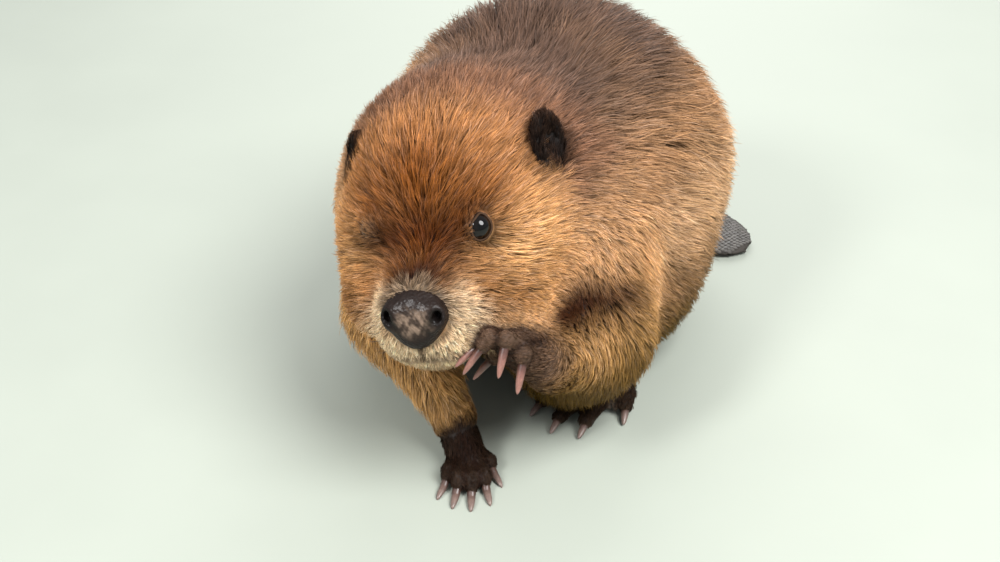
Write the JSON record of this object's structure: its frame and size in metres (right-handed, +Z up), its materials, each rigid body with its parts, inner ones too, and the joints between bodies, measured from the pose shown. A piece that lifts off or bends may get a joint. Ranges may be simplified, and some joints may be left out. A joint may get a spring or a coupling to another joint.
{
  "type": "beaver kit, life-size still model",
  "caption": "Life-size still model of a young beaver, hunched on the floor with one forepaw raised to its mouth, divided into head, trunk, legs, paws, claws and tail.",
  "frame": {"origin": "on the floor, under the middle of the animal's box", "axes": "the beaver faces -Y, its left side is towards +X, up is +Z"},
  "size_m": [0.1884, 0.3072, 0.1669],
  "materials": {
    "coat": "dense fur, golden brown to grey brown",
    "dark_coat": "short near-black fuzz",
    "nose_leather": "bare moist leathery skin",
    "eyeball": "wet gloss",
    "tail_scales": "small flat scales",
    "paw_skin": "bare skin with thin short hair",
    "claw_horn": "polished horn"
  },
  "bodies": {
    "root": {"head": "coat", "lower_jaw": "coat", "neck": "coat", "trunk": "coat", "tail_root": "coat", "foreleg_left": "coat", "foreleg_right": "coat", "thigh_left": "coat", "thigh_right": "coat", "ear_left": "dark_coat", "ear_right": "dark_coat", "nose": "nose_leather", "eye_left": "eyeball", "eye_right": "eyeball", "tail": "tail_scales", "forepaw_left": "paw_skin", "forepaw_right": "paw_skin", "hind_foot_left": "paw_skin", "hind_foot_right": "paw_skin", "claw_forepaw_left_1": "claw_horn", "claw_forepaw_left_2": "claw_horn", "claw_forepaw_left_3": "claw_horn", "claw_forepaw_left_4": "claw_horn", "claw_forepaw_left_5": "claw_horn", "claw_forepaw_right_1": "claw_horn", "claw_forepaw_right_2": "claw_horn", "claw_forepaw_right_3": "claw_horn", "claw_forepaw_right_4": "claw_horn", "claw_forepaw_right_5": "claw_horn", "claw_hind_foot_left_1": "claw_horn", "claw_hind_foot_left_2": "claw_horn", "claw_hind_foot_left_3": "claw_horn", "claw_hind_foot_left_4": "claw_horn", "claw_hind_foot_left_5": "claw_horn", "claw_hind_foot_right_1": "claw_horn", "claw_hind_foot_right_2": "claw_horn", "claw_hind_foot_right_3": "claw_horn", "claw_hind_foot_right_4": "claw_horn", "claw_hind_foot_right_5": "claw_horn"}
  },
  "joints": []
}
